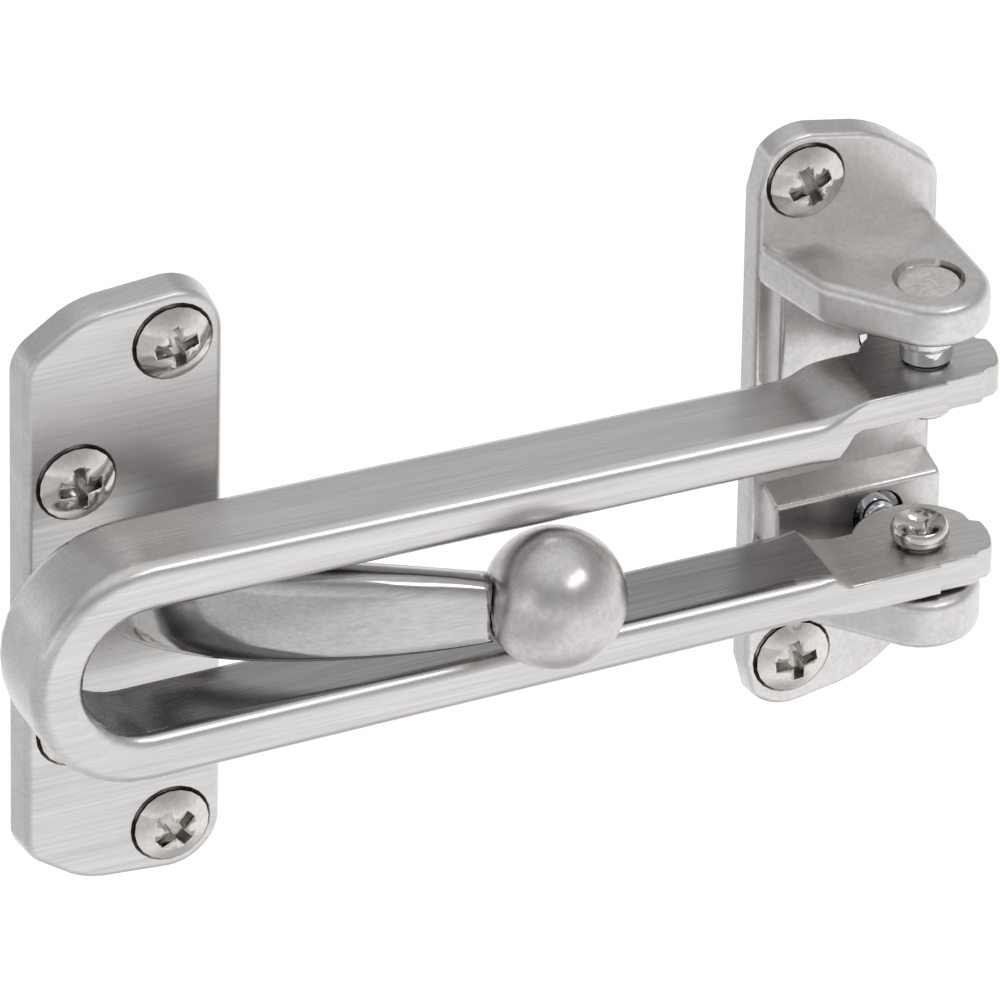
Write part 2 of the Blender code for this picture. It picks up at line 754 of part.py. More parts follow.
def rounded_ring(inner, outer, back, edge):
    """The rounded oblong between the inner and outer points and from the bar's front to its back."""
    width = math.dist(inner, outer)
    way = ((outer[0] - inner[0]) / width, (outer[1] - inner[1]) / width)
    corners = (
        (edge, BAR_FRONT + edge, 180),
        (width - edge, BAR_FRONT + edge, 270),
        (width - edge, back - edge, 0),
        (edge, back - edge, 90),
    )
    ring = []
    for reach, y, start in corners:
        for i in range(EDGE_STEPS + 1):
            angle = math.radians(start + 90 * i / EDGE_STEPS)
            out = reach + edge * math.cos(angle)
            ring.append(
                (
                    (inner[0] + way[0] * out) * MM,
                    (y + edge * math.sin(angle)) * MM,
                    (inner[1] + way[1] * out) * MM,
                )
            )
    return ring


def loft(name, rings):
    """A closed solid through rings of equal length; used where the sections differ from one another."""
    sides = len(rings[0])
    points = [point for ring in rings for point in ring]
    last = (len(rings) - 1) * sides
    faces = [tuple(range(sides)), tuple(reversed(range(last, last + sides)))]
    for row in range(len(rings) - 1):
        for i in range(sides):
            j = (i + 1) % sides
            low, high = row * sides, (row + 1) * sides
            faces.append((low + i, high + i, high + j, low + j))
    mesh = bpy.data.meshes.new(name)
    mesh.from_pydata(points, [], faces)
    obj = bpy.data.objects.new(name, mesh)
    bpy.context.scene.collection.objects.link(obj)
    weld(obj)
    return obj


def eye_reach(angle):
    """The eye's radius at an angle in degrees from +X: round at the back, then a notch, a lobe and a valley."""
    if angle >= 22:
        return LUG_EYE_RADIUS
    if angle > 8:
        return LUG_EYE_RADIUS - (LUG_EYE_RADIUS - LUG_NOTCH_RADIUS) * math.sin(math.pi * (angle - 8) / 14)
    if angle >= -30:
        return LUG_LOBE_RADIUS
    return between(angle, -42, -30, LUG_VALLEY_RADIUS, LUG_LOBE_RADIUS)


def eye_outline():
    """The eye of a lug in plan; its front is flat, a small step behind the bar's front."""
    front = BAR_FRONT + LUG_FRONT_STEP
    points = []
    for angle in range(-88, 272, 6):
        reach = eye_reach(angle)
        x = PIN_X + reach * math.cos(math.radians(angle))
        y = PIN_Y + reach * math.sin(math.radians(angle))
        if y > front + 0.05:
            points.append((x, y))
    flat = PIN_Y - front
    left = PIN_X - math.sqrt(LUG_EYE_RADIUS**2 - flat**2)
    right = PIN_X + math.sqrt(LUG_VALLEY_RADIUS**2 - flat**2)
    return [(right, front)] + points + [(left, front)]


def eye(low, high):
    plate = flat_outline("eye", eye_outline(), high - low)
    facing(plate, "Z", (low + high) / 2)
    return apply_all(bevel(plate, LUG_EDGE, 2, 60))


def swing_bar(body):
    rings = [rounded_ring(*section) for section in loop_sections()]
    bar = loft("bar", rings)
    boolean(bar, eye(UPPER_LUG_LOW, UPPER_LUG_HIGH), "UNION")
    boolean(bar, eye(LOWER_LUG_LOW, LOWER_LUG_HIGH), "UNION")
    bore = PIN_RADIUS * FACET_SLACK + RUNNING_GAP
    over = 1.0
    for low, high in ((UPPER_LUG_LOW, UPPER_LUG_HIGH), (LOWER_LUG_LOW, LOWER_LUG_HIGH)):
        drill = cylinder("lug_bore", bore, low - over, high + over, (PIN_X, PIN_Y))
        boolean(bar, drill, "DIFFERENCE")
    return finish(bar, "swing_bar", SATIN, body)


# ---- door plate with its arm, and the ball ------------------------------------------------
def door_outline():
    left = -DOOR_WIDTH / 2 + DOOR_CORNER_RADIUS
    discs = [
        (DOOR_END_SCREW_X, DOOR_END_SCREW_Z, DOOR_LOBE_RADIUS),
        (left, DOOR_END_SCREW_Z - DOOR_CORNER_DROP, DOOR_CORNER_RADIUS),
        (-1.0, DOOR_END_SCREW_Z + DOOR_LOBE_RADIUS - DOOR_CROWN_RADIUS - 0.5, DOOR_CROWN_RADIUS),
    ]
    outline = around_discs(mirrored_ends(discs))
    return [(x + DOOR_X, z - DOOR_DROP) for x, z in outline]


def arm_route(t):
    """The arm's centre line in plan, and its direction, for t from 0 at the plate to 1 at the ball."""
    root = Vector((DOOR_X + ARM_ROOT_X, -DOOR_THICKNESS + ARM_SINK))
    tip = Vector((BALL_X + ARM_TIP[0], BALL_Y + ARM_TIP[1]))
    ends = (root, root + Vector(ARM_RISE), tip + Vector(ARM_RUN), tip)
    u = 1 - t
    point = u**3 * ends[0] + 3 * u * u * t * ends[1] + 3 * u * t * t * ends[2] + t**3 * ends[3]
    way = u * u * (ends[1] - ends[0]) + 2 * u * t * (ends[2] - ends[1]) + t * t * (ends[3] - ends[2])
    return point, way.normalized()


def arm_section(t, sides=16):
    """One ring of the arm: an oval with flattened sides, tall at the root and smaller at the ball."""
    centre, way = arm_route(t)
    across = Vector((-way.y, way.x))
    fall = max(0.0, 2 * t - 1) ** 2
    top = ARM_TOP[0] + (ARM_TOP[1] - ARM_TOP[0]) * fall
    bottom = ARM_BOTTOM[1] + (ARM_BOTTOM[0] - ARM_BOTTOM[1]) * (1 - t) ** 2
    half_thickness = ARM_ROOT_HALF_THICKNESS + (ARM_TIP_HALF_THICKNESS - ARM_ROOT_HALF_THICKNESS) * t
    ring = []
    for i in range(sides):
        angle = 2 * math.pi * i / sides
        side, up = math.cos(angle), math.sin(angle)
        side = math.copysign(abs(side) ** 0.7, side) * half_thickness
        up = (top + bottom) / 2 + math.copysign(abs(up) ** 0.8, up) * (top - bottom) / 2
        place = centre + across * side
        ring.append((place.x * MM, place.y * MM, up * MM))
    return ring


def arm_solid():
    steps = 16
    return loft("arm", [arm_section(i / steps) for i in range(steps + 1)])


def sphere(name, radius, rings=18, segments=28):
    bpy.ops.mesh.primitive_uv_sphere_add(segments=segments, ring_count=rings, radius=radius * MM)
    obj = bpy.context.object
    obj.name = name
    obj.matrix_world = Matrix.Translation(Vector((BALL_X, BALL_Y, 0)) * MM)
    return settle(obj)


def tenon(radius, extra):
    """The round stub on the arm's end, or the socket for it when extra is added to its length."""
    tip, _ = arm_route(1.0)
    middle = sum(ARM_TOP[1:] + ARM_BOTTOM[1:]) / 2
    end = tip.x + TENON_LENGTH + extra
    return cylinder("tenon", radius, tip.x - 3.0, end, (tip.y, middle), "X", sides=20)


def door_plate(body):
    plate = flat_outline("door", door_outline(), DOOR_THICKNESS)
    facing(plate, "Y", -DOOR_THICKNESS / 2)
    draft_front(plate, DOOR_THICKNESS, DOOR_DRAFT)
    bevel_front(plate, DOOR_THICKNESS, DOOR_EDGE)
    boolean(plate, arm_solid(), "UNION")
    boolean(plate, sphere("ball_seat", BALL_RADIUS + SEAT_GAP), "DIFFERENCE")
    boolean(plate, tenon(TENON_RADIUS, 0.0), "UNION")
    for x, z in door_screw_places():
        cut_screw_hole(plate, (x, z), DOOR_THICKNESS)
    return finish(plate, "door_plate", SATIN, body)


def door_screw_places():
    places = []
    for x, z in ((DOOR_END_SCREW_X, DOOR_END_SCREW_Z), (DOOR_MID_SCREW_X, DOOR_MID_SCREW_Z)):
        places += [(DOOR_X + x, z - DOOR_DROP), (DOOR_X + x, -z - DOOR_DROP)]
    return places


def ball_tip(body):
    ball = sphere("ball", BALL_RADIUS)
    boolean(ball, tenon(TENON_RADIUS + SEAT_GAP, SEAT_GAP), "DIFFERENCE")
    return finish(ball, "ball_tip", SATIN, body)


# ---- assembly ----------------------------------------------------------------------------
def build_bracket_side(root):
    jamb_bracket(root)
    hinge_pin("upper_hinge_pin", UPPER_EAR_HIGH, UPPER_LUG_LOW, root)
    hinge_pin("lower_hinge_pin", LOWER_EAR_LOW, LOWER_LUG_HIGH, root)
    narrow_low = UPPER_LUG_HIGH + SEAT_GAP
    wide_low = narrow_low + COLLAR_HEIGHTS[0] + SEAT_GAP
    collar("narrow_spacer_collar", PIN_SEAT_RADIUS + COLLAR_WALLS[0], narrow_low, COLLAR_HEIGHTS[0], root)
    collar("wide_spacer_collar", PIN_SEAT_RADIUS + COLLAR_WALLS[1], wide_low, COLLAR_HEIGHTS[1], root)
    for level, z, turn in (("upper", BRACKET_SCREW_Z, 22), ("lower", -BRACKET_SCREW_Z, 8)):
        place = (BRACKET_SCREW_X, z + BRACKET_LIFT)
        screw(f"{level}_bracket_screw", place, BRACKET_THICKNESS, turn, root)


def build_detents(root):
    for level, z in (("upper", UPPER_LUG_MIDDLE), ("lower", LOWER_LUG_MIDDLE)):
        slide = pivot(f"{level}_plunger_slide", (PLUNGER_X, -BLOCK_FRONT, z))
        slide.parent = root
        plunger(f"{level}_detent_plunger", z, slide)
        plunger_spring(f"{level}_plunger_spring", z, root)


def build_door_side(carrier):
    door_plate(carrier)
    ball_tip(carrier)
    names = ("top_door_screw", "bottom_door_screw", "upper_door_screw", "lower_door_screw")
    turns = (12, 40, 5, 25)
    for name, place, turn in zip(names, door_screw_places(), turns):
        screw(name, place, DOOR_THICKNESS, turn, carrier)


def build():
    root = pivot("bracket_root", (0, 0, 0))
    hinge = pivot("bar_hinge_axis", (PIN_X, PIN_Y, 0))
    hinge.parent = root
    carrier = pivot("door_plate_slide", (BALL_X, BALL_Y, 0))
    carrier.parent = hinge
    carrier.matrix_parent_inverse = hinge.matrix_world.inverted()
    bpy.context.view_layer.update()
    build_bracket_side(root)
    build_detents(root)
    swing_bar(hinge)
    build_door_side(carrier)


clear_scene()
PARTS = collection("swing_bar_door_guard")
CUTTERS = collection("cutters", hidden=True)
SATIN = material("satin_nickel", (0.62, 0.60, 0.58), 0.34)
CHROME = material("chrome", (0.75, 0.75, 0.76), 0.08)
POLISHED = material("polished_nickel", (0.68, 0.65, 0.62), 0.14)
SPRING_STEEL = material("spring_steel", (0.35, 0.35, 0.36), 0.3)
build()
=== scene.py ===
# %% [markdown]
# # A swing-bar door guard in satin nickel
#
# This guard stops a door after it has opened by a hand's width. A bracket on the frame holds a hinged
# loop. A plate on the door holds a curved arm with a ball on its end, and the ball runs in the loop.
# The shapes come from the imported solids. This lesson gives them smooth surfaces, real finishes and a
# plain studio. It starts by loading the solids.

import json
import math

import bpy
from mathutils import Matrix, Vector


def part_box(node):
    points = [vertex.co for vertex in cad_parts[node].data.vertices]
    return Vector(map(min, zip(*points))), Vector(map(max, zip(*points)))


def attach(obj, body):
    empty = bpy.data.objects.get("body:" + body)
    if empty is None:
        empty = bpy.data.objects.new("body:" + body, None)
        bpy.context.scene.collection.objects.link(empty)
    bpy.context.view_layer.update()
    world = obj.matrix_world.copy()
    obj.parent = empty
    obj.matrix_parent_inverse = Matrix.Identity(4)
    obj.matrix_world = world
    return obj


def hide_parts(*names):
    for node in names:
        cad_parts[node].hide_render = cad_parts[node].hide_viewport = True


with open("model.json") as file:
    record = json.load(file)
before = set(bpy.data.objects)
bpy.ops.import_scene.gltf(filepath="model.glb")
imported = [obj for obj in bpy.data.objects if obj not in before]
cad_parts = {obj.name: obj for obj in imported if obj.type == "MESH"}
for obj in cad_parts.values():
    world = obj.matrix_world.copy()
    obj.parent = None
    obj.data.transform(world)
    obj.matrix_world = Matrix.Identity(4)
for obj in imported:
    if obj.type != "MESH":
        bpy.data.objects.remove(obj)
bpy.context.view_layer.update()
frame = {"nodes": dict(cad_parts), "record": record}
record = frame["record"]
MM = 0.001

# %% [markdown]
# ## Which body carries each node
#
# The record already says which nodes move together and which material slot each one uses. Reading the
# bodies from there means that every piece below rides on the right body without a second list to keep
# true.

# %% Bodies of the nodes
BODY_OF = {
    node: body for body, nodes in record["behaviour"]["bodies"].items() for node in nodes
}
PIECES = {}
print("bodies:", sorted(set(BODY_OF.values())))

# %% [markdown]
# ## From loose triangles to one smooth skin
#
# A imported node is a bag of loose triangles: good for physics, but every facet shows. For each node a
# copy is made, its doubled points are merged, and flat areas are joined into single faces. Shading is
# then smoothed up to an angle, so real corners stay crisp, and the Weighted Normal modifier makes big
# flat faces decide the direction of the light, which keeps them flat beside a rounded edge.


# %% Copy a node and give it a smooth skin
SAME_POINT = 0.002 * MM
FLAT_WITHIN = math.radians(0.6)
FLAT_FACES_LEAD_BY = 70
USUAL_SHARP_ANGLE = 36
SHARP_ANGLE = {"swing_bar": 40, "door_plate": 42, "jamb_bracket": 38}


def only(obj):
    """Makes this the single selected and active object."""
    for other in bpy.context.selected_objects:
        other.select_set(False)
    obj.select_set(True)
    bpy.context.view_layer.objects.active = obj


def merged_copy(node, name):
    source = frame["nodes"][node]
    piece = bpy.data.objects.new(name, source.data.copy())
    bpy.context.scene.collection.objects.link(piece)
    only(piece)
    bpy.ops.object.mode_set(mode="EDIT")
    bpy.ops.mesh.select_all(action="SELECT")
    bpy.ops.mesh.remove_doubles(threshold=SAME_POINT)
    bpy.ops.mesh.dissolve_limited(angle_limit=FLAT_WITHIN)
    bpy.ops.object.mode_set(mode="OBJECT")
    return piece


def smooth_skin(piece, angle):
    only(piece)
    bpy.ops.object.shade_smooth_by_angle(angle=math.radians(angle))
    weighted = piece.modifiers.new("Flat faces lead", "WEIGHTED_NORMAL")
    weighted.keep_sharp = True
    weighted.weight = FLAT_FACES_LEAD_BY
    bpy.ops.object.modifier_apply(modifier=weighted.name)
    return piece


def take_over(piece, node):
    """The piece stands for the node: the node is hidden, and the piece rides on its body."""
    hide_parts(node)
    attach(piece, BODY_OF[node])
    PIECES[node] = piece


for node in sorted(frame["nodes"]):
    if node != "ball_tip":
        angle = SHARP_ANGLE.get(node, USUAL_SHARP_ANGLE)
        piece = smooth_skin(merged_copy(node, node + "_skin"), angle)
        take_over(piece, node)
        print(node, "faces", len(piece.data.polygons))

# %% [markdown]
# ## The ball on the arm
#
# The real ball is polished round, so its highlight is a clean curve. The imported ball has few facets,
# which is right for physics but would break that highlight. A finer sphere is added at the ball's own
# centre, a hair smaller so that it stays inside the solid. The pocket that takes the arm's stub is cut
# by an inset and an extrusion at the pole that faces the arm.

# %% Model a finer ball
low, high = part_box("ball_tip")
BALL_RADIUS = (high.z - low.z) / 2
BALL_CENTRE = Vector((high.x - BALL_RADIUS, low.y + BALL_RADIUS, (low.z + high.z) / 2))
TO_ARM = Vector((-7.2, 1.25, -0.6)).normalized()
POCKET_RADIUS = 2.1 * MM
POCKET_DEPTH = 2.6 * MM
POCKET_LIP = 0.05 * MM
INSIDE_THE_SOLID = 0.9995
BALL_SHARP_ANGLE = 40
bpy.ops.object.select_all(action="DESELECT")
bpy.ops.mesh.primitive_uv_sphere_add(
    segments=96,
    ring_count=64,
    radius=BALL_RADIUS * INSIDE_THE_SOLID,
    location=BALL_CENTRE,
    rotation=TO_ARM.to_track_quat("Z", "Y").to_euler(),
)
ball = bpy.context.object
ball.name = "ball_skin"
bpy.ops.object.transform_apply(location=True, rotation=True, scale=True)
cap_height = math.sqrt(BALL_RADIUS**2 - POCKET_RADIUS**2)
bpy.ops.object.mode_set(mode="EDIT")
bpy.ops.mesh.select_mode(type="FACE")
bpy.ops.mesh.select_all(action="DESELECT")
bpy.ops.object.mode_set(mode="OBJECT")
for face in ball.data.polygons:
    face.select = (Vector(face.center) - BALL_CENTRE).dot(TO_ARM) > cap_height
print("cap faces:", sum(face.select for face in ball.data.polygons))
bpy.ops.object.mode_set(mode="EDIT")
bpy.ops.mesh.dissolve_faces()
bpy.ops.mesh.inset(thickness=POCKET_LIP)
bpy.ops.mesh.extrude_region_move(TRANSFORM_OT_translate={"value": -TO_ARM * POCKET_DEPTH})
bpy.ops.mesh.select_all(action="SELECT")
bpy.ops.mesh.normals_make_consistent(inside=False)
bpy.ops.object.mode_set(mode="OBJECT")
smooth_skin(ball, BALL_SHARP_ANGLE)
take_over(ball, "ball_tip")
print("ball radius mm", round(BALL_RADIUS / MM, 2), "faces", len(ball.data.polygons))

# %% [markdown]
# ## Small tools for building materials
#
# Every finish below is made of shader nodes. These helpers add a node, set its plain values and join it
# to others in one line, so a material reads like a recipe.


# %% Helpers for shader nodes
def add(tree, kind, **values):
    """Adds a node; a value that is an output socket is linked, and any other is set."""
    node = tree.nodes.new("ShaderNode" + kind)
    settings = values.pop("settings", {})
    for key, value in settings.items():
        setattr(node, key, value)
    for key, value in values.items():
        title = key.replace("_", " ")
        socket = node.inputs[int(title[1:])] if title[1:].isdigit() else node.inputs[title]
        if isinstance(value, bpy.types.NodeSocket):
            tree.links.new(value, socket)
        else:
            socket.default_value = value
    return node


def maths(tree, operation, first, second=0.0, third=0.0, clamp=False):
    settings = {"operation": operation, "use_clamp": clamp}
    return add(tree, "Math", settings=settings, i0=first, i1=second, i2=third).outputs[0]


def spread(tree, value, low, high, new_low, new_high):
    """Maps a value's range to another one and stops at its ends."""
    node = add(tree, "MapRange", settings={"clamp": True}, Value=value)
    names = ("From Min", "From Max", "To Min", "To Max")
    for name, number in zip(names, (low, high, new_low, new_high)):
        if isinstance(number, bpy.types.NodeSocket):
            tree.links.new(number, node.inputs[name])
        else:
            node.inputs[name].default_value = number
    return node.outputs[0]


def new_group(name, inputs, outputs):
    """An empty node group with these sockets; inputs maps a name to its kind and default."""
    tree = bpy.data.node_groups.new(name, "ShaderNodeTree")
    for title, (kind, default) in inputs.items():
        socket = tree.interface.new_socket(name=title, in_out="INPUT", socket_type=kind)
        socket.default_value = default
    for title in outputs:
        tree.interface.new_socket(name=title, in_out="OUTPUT", socket_type="NodeSocketFloat")
    return tree, tree.nodes.new("NodeGroupInput"), tree.nodes.new("NodeGroupOutput")


def place_group(tree, group, **values):
    node = tree.nodes.new("ShaderNodeGroup")
    node.node_tree = group
    for key, value in values.items():
        node.inputs[key.replace("_", " ")].default_value = value
    return node


# %% [markdown]
# ## Brushing
#
# Satin nickel gets its look from fine scratches that all run one way. On the real bar they follow its
# length, and on the plates they run from side to side. Noise that is stretched a long way along one
# axis and is very fine across it makes such lines. A second, broader noise makes bands where the belt
# pressed harder.

# %% A group for brushed lines
VALUE = "NodeSocketFloat"
VECTOR = "NodeSocketVector"
brushing, g_in, g_out = new_group(
    "brushing",
    {"Stretch": (VECTOR, (60.0, 3200.0, 3200.0)), "Band Stretch": (VECTOR, (12.0, 260.0, 260.0))},
    ("Lines", "Bands"),
)
place = add(brushing, "TexCoord").outputs["Object"]
for title, target, detail in (("Stretch", "Lines", 3.0), ("Band Stretch", "Bands", 2.0)):
    scaled = add(
        brushing, "VectorMath", settings={"operation": "MULTIPLY"}, i0=place, i1=g_in.outputs[title]
    )
    noise = add(
        brushing, "TexNoise", Vector=scaled.outputs[0], Scale=1.0, Detail=detail, Roughness=0.6
    )
    brushing.links.new(noise.outputs["Fac"], g_out.inputs[target])
print("brushing group nodes:", len(brushing.nodes))

# %% [markdown]
# ## Castings are never quite flat
#
# The bracket, the bar and the plate are cast zinc under their plating. Polishing leaves shallow waves
# that bend a reflection, and a few small pits that the belt never reached. One group makes both from
# noise on object coordinates, so the pattern stays on the piece wherever it moves.

# %% A group for cast waves and pits
casting, g_in, g_out = new_group(
    "casting", {"Wave Scale": (VALUE, 150.0), "Pit Scale": (VALUE, 900.0)}, ("Waves", "Pits")
)
place = add(casting, "TexCoord").outputs["Object"]
waves = add(
    casting, "TexNoise", Vector=place, Scale=g_in.outputs["Wave Scale"], Detail=3.0, Roughness=0.5
)
casting.links.new(waves.outputs["Fac"], g_out.inputs["Waves"])
pits = add(
    casting, "TexVoronoi", Vector=place, Scale=g_in.outputs["Pit Scale"], Randomness=1.0
)
patches = add(casting, "TexNoise", Vector=place, Scale=220.0, Detail=2.0)
near = spread(casting, pits.outputs["Distance"], 0.05, 0.22, 1.0, 0.0)
rare = spread(casting, patches.outputs["Fac"], 0.66, 0.76, 0.0, 1.0)
casting.links.new(maths(casting, "MULTIPLY", near, rare), g_out.inputs["Pits"])
print("casting group nodes:", len(casting.nodes))

# %% [markdown]
# ## Rubbed edges, and painted shade in the hollows
#
# Hands and the ball rub the high edges brighter and smoother. Inside corners get painted shade: their
# colour is made a little darker. The Pointiness value says how convex the surface is at each point.
# Broken up with noise it gives one mask for rubbed edges, and a second mask marks the hollows to shade.

# %% A group for rubbed edges and painted hollow shade
wear_and_shade, g_in, g_out = new_group("wear_and_shade", {"Break Up": (VALUE, 400.0)}, ("Edges", "Hollow Shade"))
convex = add(wear_and_shade, "NewGeometry").outputs["Pointiness"]
breaks = add(
    wear_and_shade,
    "TexNoise",
    Vector=add(wear_and_shade, "TexCoord").outputs["Object"],
    Scale=g_in.outputs["Break Up"],
    Detail=3.0,
)
rubbed = spread(wear_and_shade, convex, 0.52, 0.60, 0.0, 1.0)
uneven = spread(wear_and_shade, breaks.outputs["Fac"], 0.30, 0.65, 0.35, 1.0)
wear_and_shade.links.new(maths(wear_and_shade, "MULTIPLY", rubbed, uneven), g_out.inputs["Edges"])
# Painted shade: concave places get a mask that darkens their colour.
wear_and_shade.links.new(spread(wear_and_shade, convex, 0.40, 0.48, 1.0, 0.0), g_out.inputs["Hollow Shade"])
print("wear group nodes:", len(wear_and_shade.nodes))

# %% [markdown]
# ## One recipe for all the metals
#
# Satin plate, polished arm, chrome and screws differ only in colour, in how rough they are and in how
# strong the brushing and the waves are. So one function builds them, with the Principled shader in the
# material itself, and each finish gives it its own numbers. Three helpers do the colour, the roughness
# and the bumps: a bright line in the brushing is also a smoother one, so both read the same mask.

# %% The recipe for a metal finish
LINE_SHARE, BAND_SHARE = 0.6, 0.4
TONE_RANGE = (0.34, 0.66)
# Painted shade in hollows, and the casting pits, darken the plating towards this colour.
SHADE_AND_PIT_COLOUR = (0.10, 0.095, 0.09, 1.0)
WAVE_ROUGHNESS = 0.03
RUBBED_SHARE = 0.35
LINE_DEPTH, WAVE_DEPTH, PIT_DEPTH = 0.02 * MM, 0.5 * MM, 0.06 * MM


def brush_mask(tree, lines):
    """0 on the darkest, roughest lines and 1 on the brightest, smoothest ones."""
    bands = maths(tree, "MULTIPLY", lines.outputs["Bands"], BAND_SHARE)
    tone = maths(tree, "MULTIPLY_ADD", lines.outputs["Lines"], LINE_SHARE, bands)
    return spread(tree, tone, *TONE_RANGE, 0.0, 1.0)


def mix_colours(tree, blend, factor, first, second):
    """Mixes two colours, each an output socket or a plain colour."""
    node = add(tree, "Mix", settings={"data_type": "RGBA", "blend_type": blend}, Factor=factor)
    for place, colour in ((6, first), (7, second)):
        if isinstance(colour, bpy.types.NodeSocket):
            tree.links.new(colour, node.inputs[place])
        else:
            node.inputs[place].default_value = colour
    return node.outputs[2]


def plating_colour(tree, mask, worn_and_shaded, cast, dark, light, shade_and_pit_strength):
    plated = mix_colours(tree, "MIX", mask, (*dark, 1.0), (*light, 1.0))
    # Painted shade in the hollows, and the darkened pits, multiply the plating towards a dark colour.
    shade_and_pits = maths(tree, "MAXIMUM", worn_and_shaded.outputs["Hollow Shade"], cast.outputs["Pits"])
    return mix_colours(tree, "MULTIPLY", maths(tree, "MULTIPLY", shade_and_pits, shade_and_pit_strength), plated, SHADE_AND_PIT_COLOUR)


def plating_roughness(tree, mask, worn_and_shaded, cast, smoothest, roughest):
    plain = spread(tree, mask, 0.0, 1.0, roughest, smoothest)
    uneven = spread(tree, cast.outputs["Waves"], 0.3, 0.7, -WAVE_ROUGHNESS, WAVE_ROUGHNESS)
    rubbed = maths(tree, "MULTIPLY", worn_and_shaded.outputs["Edges"], RUBBED_SHARE * smoothest)
    return maths(tree, "SUBTRACT", maths(tree, "ADD", plain, uneven), rubbed, clamp=True)


def plating_bumps(tree, lines, cast, line_bump, wave_bump, pit_bump):
    fine = add(tree, "Bump", Height=lines.outputs["Lines"], Strength=line_bump, Distance=LINE_DEPTH)
    broad = add(tree, "Bump", Height=cast.outputs["Waves"], Strength=wave_bump, Distance=WAVE_DEPTH)
    holes = add(tree, "Bump", Height=cast.outputs["Pits"], Strength=pit_bump, Distance=PIT_DEPTH)
    holes.invert = True
    tree.links.new(fine.outputs[0], broad.inputs["Normal"])
    tree.links.new(broad.outputs[0], holes.inputs["Normal"])
    return holes.outputs[0]


def metal(name, dark, light, rough, grain, bumps, wave_scale, shade_and_pit_strength):
    """A plated metal. rough is (smoothest, roughest), grain the brushing's two stretches, bumps the
    strengths of lines, waves and pits, and the last argument how dark the painted shade in the hollows
    and the pits gets."""
    made = bpy.data.materials.new(name)
    made.use_nodes = True
    tree = made.node_tree
    shader = tree.nodes["Principled BSDF"]
    shader.inputs["Metallic"].default_value = 1.0
    lines = place_group(tree, brushing, Stretch=grain[0], Band_Stretch=grain[1])
    cast = place_group(tree, casting, Wave_Scale=wave_scale)
    worn_and_shaded = place_group(tree, wear_and_shade)
    mask = brush_mask(tree, lines)
    parts = {
        "Base Color": plating_colour(tree, mask, worn_and_shaded, cast, dark, light, shade_and_pit_strength),
        "Roughness": plating_roughness(tree, mask, worn_and_shaded, cast, *rough),
        "Normal": plating_bumps(tree, lines, cast, *bumps),
    }
    for title, socket in parts.items():
        tree.links.new(socket, shader.inputs[title])
    return made


print("strength of the brushing's lines and bands:", LINE_SHARE, BAND_SHARE)

# %% [markdown]
# ## The finishes
#
# The bar and the plates share a warm, light satin nickel. The arm behind the loop was buffed by hand
# and is glossier. The rings on the hinge and the sprung pins are chrome, and the screws and hinge pins
# are polished nickel. Each row gives the darkest and lightest colour, the smoothest and roughest value,
# the grain, the three bump strengths, the size of the waves and how dark the painted shade in hollows and
# the pits gets.

# %% Mix the finishes
ALONG_X = ((70.0, 3000.0, 3000.0), (14.0, 300.0, 300.0))
ALL_WAYS = ((1600.0, 1600.0, 1600.0), (260.0, 260.0, 260.0))
SATIN_DARK, SATIN_LIGHT = (0.56, 0.548, 0.535), (0.70, 0.688, 0.675)
# A darker copy of the bar's satin: painted shade for the walls inside the loop.
SHADED_INSIDE_DARK, SHADED_INSIDE_LIGHT = (0.30, 0.295, 0.29), (0.43, 0.425, 0.42)
CAST_DARK, CAST_LIGHT = (0.60, 0.585, 0.57), (0.73, 0.715, 0.70)
ARM_DARK, ARM_LIGHT = (0.44, 0.43, 0.42), (0.58, 0.57, 0.56)
BALL_DARK, BALL_LIGHT = (0.52, 0.50, 0.49), (0.66, 0.64, 0.63)
CHROME_DARK, CHROME_LIGHT = (0.70, 0.70, 0.72), (0.80, 0.80, 0.82)
SCREW_DARK, SCREW_LIGHT = (0.60, 0.57, 0.54), (0.74, 0.71, 0.68)
WIRE_DARK, WIRE_LIGHT = (0.26, 0.26, 0.27), (0.38, 0.38, 0.39)
RECIPES = {
    "satin_bar": (SATIN_DARK, SATIN_LIGHT, (0.25, 0.34), ALONG_X, (0.20, 0.03, 0.2), 110.0, 0.25),
    "shaded_loop_inside": (SHADED_INSIDE_DARK, SHADED_INSIDE_LIGHT, (0.22, 0.32), ALONG_X, (0.20, 0.03, 0.2), 110.0, 0.25),
    "satin_plate": (SATIN_DARK, SATIN_LIGHT, (0.33, 0.43), ALONG_X, (0.22, 0.03, 0.2), 90.0, 0.25),
    "satin_cast": (CAST_DARK, CAST_LIGHT, (0.30, 0.38), ALL_WAYS, (0.12, 0.03, 0.2), 110.0, 0.10),
    "buffed_arm": (ARM_DARK, ARM_LIGHT, (0.11, 0.19), ALONG_X, (0.14, 0.03, 0.2), 110.0, 0.25),
    "satin_ball": (BALL_DARK, BALL_LIGHT, (0.24, 0.32), ALL_WAYS, (0.10, 0.025, 0.2), 130.0, 0.25),
    "bright_chrome": (CHROME_DARK, CHROME_LIGHT, (0.04, 0.08), ALL_WAYS, (0.06, 0.04, 0.2), 300.0, 0.25),
    "bright_screw": (SCREW_DARK, SCREW_LIGHT, (0.08, 0.16), ALL_WAYS, (0.10, 0.05, 0.5), 320.0, 0.55),
    "spring_wire": (WIRE_DARK, WIRE_LIGHT, (0.22, 0.34), ALL_WAYS, (0.15, 0.05, 0.3), 300.0, 0.25),
}
FINISHES = {name: metal(name, *recipe) for name, recipe in RECIPES.items()}
print("finishes:", sorted(FINISHES))

